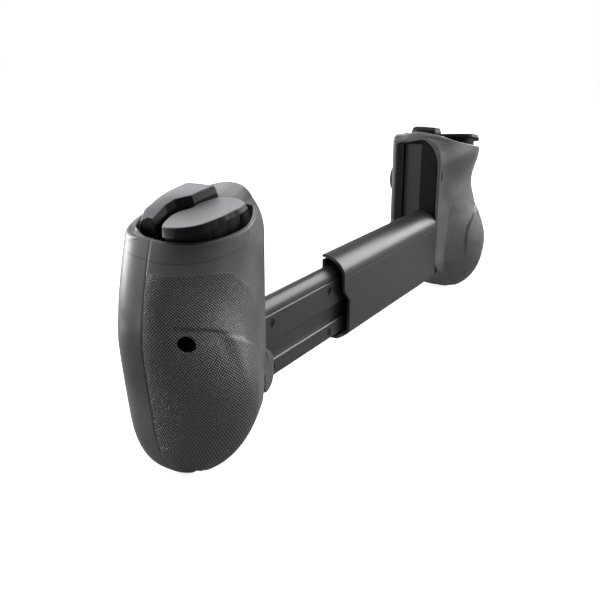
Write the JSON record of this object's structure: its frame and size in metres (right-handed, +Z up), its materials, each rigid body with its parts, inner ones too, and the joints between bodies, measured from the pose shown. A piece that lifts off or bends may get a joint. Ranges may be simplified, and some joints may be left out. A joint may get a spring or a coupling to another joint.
{
  "type": "mobile game controller",
  "caption": "Telescopic handheld game controller: shaped grips with sticks, buttons and triggers, joined by a sliding bridge that clamps a device between them.",
  "frame": {"origin": "middle of the device bay in the resting pose, on the plane that the back of a held device rests on", "axes": "+X along the length towards the player's right hand, -Y out of the control face, +Z up towards the triggers"},
  "size_m": [0.2894, 0.0556, 0.0985],
  "materials": {
    "smoked_shell": "smoked translucent polycarbonate, finely textured on the palm",
    "smoked_plate": "smoked translucent polycarbonate, satin",
    "bridge_plastic": "smoked satin",
    "black_plastic": "satin",
    "control_grey": "satin",
    "stick_rubber": "matt",
    "button_black": "gloss",
    "silicone": "matt",
    "steel": "plated",
    "circuit_board": "lacquered",
    "ribbon": "satin"
  },
  "bodies": {
    "left_half": {"left_front_shell": "smoked_shell", "left_back_shell": "smoked_shell", "left_cradle_wall": "black_plastic", "left_end_pad": "silicone", "left_faceplate": "smoked_plate", "left_magnets": "steel", "left_bracket": "black_plastic", "left_hinge_pins": "steel", "left_bumper_switch": "steel", "left_trigger_spring": "steel", "left_stick_base": "steel", "left_main_board": "circuit_board", "left_screws": "steel", "dpad_frame": "black_plastic", "audio_jack": "black_plastic", "sleeve": "bridge_plastic", "sleeve_front_plate": "black_plastic", "return_spring": "steel", "ribbon_cable": "ribbon"},
    "right_half": {"right_front_shell": "smoked_shell", "right_back_shell": "smoked_shell", "right_cradle_wall": "black_plastic", "right_end_pad": "silicone", "right_faceplate": "smoked_plate", "right_magnets": "steel", "right_bracket": "black_plastic", "right_hinge_pins": "steel", "right_bumper_switch": "steel", "right_trigger_spring": "steel", "right_stick_base": "steel", "right_main_board": "circuit_board", "right_screws": "steel", "button_pad": "silicone", "device_plug": "steel", "charge_port": "steel", "rail_frame": "black_plastic", "rail_cover": "bridge_plastic", "rail_screws": "steel"},
    "left_bumper": {"left_bumper": "control_grey"},
    "left_trigger": {"left_trigger": "control_grey"},
    "left_stick_yoke": {"left_stick_yoke": "black_plastic"},
    "left_stick_rocker": {"left_stick_rocker": "black_plastic"},
    "left_stick_cap": {"left_stick_cap": "stick_rubber"},
    "dpad_rocker": {"dpad_rocker": "black_plastic"},
    "dpad_cross": {"dpad_cross": "button_black"},
    "select_button": {"select_button": "button_black"},
    "capture_button": {"capture_button": "button_black"},
    "right_bumper": {"right_bumper": "control_grey"},
    "right_trigger": {"right_trigger": "control_grey"},
    "right_stick_yoke": {"right_stick_yoke": "black_plastic"},
    "right_stick_rocker": {"right_stick_rocker": "black_plastic"},
    "right_stick_cap": {"right_stick_cap": "stick_rubber"},
    "north_button": {"north_button": "button_black"},
    "east_button": {"east_button": "button_black"},
    "south_button": {"south_button": "button_black"},
    "west_button": {"west_button": "button_black"},
    "menu_button": {"menu_button": "button_black"},
    "home_button": {"home_button": "button_black"}
  },
  "joints": [
    {"name": "bridge_slide", "type": "slide", "parent": "left_half", "child": "right_half", "axis": [1, 0, 0], "range_m": [-0.063, 0.01], "deforming": ["return_spring", "ribbon_cable"]},
    {"name": "left_bumper_press", "type": "hinge", "parent": "left_half", "child": "left_bumper", "pos_m": [-0.105, -0.007, 0.0305], "axis": [0, -1, 0], "range_deg": [0, 2.5], "stiffness_Nm_per_rad": 0.3, "springref_deg": -1.72},
    {"name": "left_trigger_pull", "type": "hinge", "parent": "left_half", "child": "left_trigger", "pos_m": [-0.119, 0.0046, 0.0275], "axis": [-1, 0, 0], "range_deg": [0, 8], "stiffness_Nm_per_rad": 0.12, "springref_deg": -6.88},
    {"name": "left_stick_up_down", "type": "hinge", "parent": "left_half", "child": "left_stick_yoke", "pos_m": [-0.115, -0.0045, 0.008], "axis": [1, 0, 0], "range_deg": [-14, 14], "stiffness_Nm_per_rad": 0.03},
    {"name": "left_stick_left_right", "type": "hinge", "parent": "left_stick_yoke", "child": "left_stick_rocker", "pos_m": [-0.115, -0.0045, 0.008], "axis": [0, 0, 1], "range_deg": [-14, 14], "stiffness_Nm_per_rad": 0.03},
    {"name": "left_stick_click", "type": "slide", "parent": "left_stick_rocker", "child": "left_stick_cap", "axis": [0, 1, 0], "range_m": [0, 0.0006], "stiffness_N_per_m": 2000, "springref_m": -0.0003},
    {"name": "right_bumper_press", "type": "hinge", "parent": "right_half", "child": "right_bumper", "pos_m": [0.105, -0.007, 0.0305], "axis": [0, 1, 0], "range_deg": [0, 2.5], "stiffness_Nm_per_rad": 0.3, "springref_deg": -1.72},
    {"name": "right_trigger_pull", "type": "hinge", "parent": "right_half", "child": "right_trigger", "pos_m": [0.119, 0.0046, 0.0275], "axis": [-1, 0, 0], "range_deg": [0, 8], "stiffness_Nm_per_rad": 0.12, "springref_deg": -6.88},
    {"name": "right_stick_up_down", "type": "hinge", "parent": "right_half", "child": "right_stick_yoke", "pos_m": [0.11, -0.0045, -0.02], "axis": [1, 0, 0], "range_deg": [-14, 14], "stiffness_Nm_per_rad": 0.03},
    {"name": "right_stick_left_right", "type": "hinge", "parent": "right_stick_yoke", "child": "right_stick_rocker", "pos_m": [0.11, -0.0045, -0.02], "axis": [0, 0, 1], "range_deg": [-14, 14], "stiffness_Nm_per_rad": 0.03},
    {"name": "right_stick_click", "type": "slide", "parent": "right_stick_rocker", "child": "right_stick_cap", "axis": [0, 1, 0], "range_m": [0, 0.0006], "stiffness_N_per_m": 2000, "springref_m": -0.0003},
    {"name": "dpad_up_down", "type": "hinge", "parent": "left_half", "child": "dpad_rocker", "pos_m": [-0.11, -0.01, -0.02], "axis": [1, 0, 0], "range_deg": [-5, 5], "stiffness_Nm_per_rad": 0.05},
    {"name": "dpad_left_right", "type": "hinge", "parent": "dpad_rocker", "child": "dpad_cross", "pos_m": [-0.11, -0.01, -0.02], "axis": [0, 0, 1], "range_deg": [-5, 5], "stiffness_Nm_per_rad": 0.05},
    {"name": "north_press", "type": "slide", "parent": "right_half", "child": "north_button", "axis": [0, 1, 0], "range_m": [0, 0.0012], "stiffness_N_per_m": 500, "springref_m": -0.0006},
    {"name": "east_press", "type": "slide", "parent": "right_half", "child": "east_button", "axis": [0, 1, 0], "range_m": [0, 0.0012], "stiffness_N_per_m": 500, "springref_m": -0.0006},
    {"name": "south_press", "type": "slide", "parent": "right_half", "child": "south_button", "axis": [0, 1, 0], "range_m": [0, 0.0012], "stiffness_N_per_m": 500, "springref_m": -0.0006},
    {"name": "west_press", "type": "slide", "parent": "right_half", "child": "west_button", "axis": [0, 1, 0], "range_m": [0, 0.0012], "stiffness_N_per_m": 500, "springref_m": -0.0006},
    {"name": "select_press", "type": "slide", "parent": "left_half", "child": "select_button", "axis": [0, 1, 0], "range_m": [0, 0.0005], "stiffness_N_per_m": 800, "springref_m": -0.0005},
    {"name": "capture_press", "type": "slide", "parent": "left_half", "child": "capture_button", "axis": [0, 1, 0], "range_m": [0, 0.0005], "stiffness_N_per_m": 800, "springref_m": -0.0005},
    {"name": "menu_press", "type": "slide", "parent": "right_half", "child": "menu_button", "axis": [0, 1, 0], "range_m": [0, 0.0005], "stiffness_N_per_m": 800, "springref_m": -0.0005},
    {"name": "home_press", "type": "slide", "parent": "right_half", "child": "home_button", "axis": [0, 1, 0], "range_m": [0, 0.0005], "stiffness_N_per_m": 800, "springref_m": -0.0005}
  ]
}
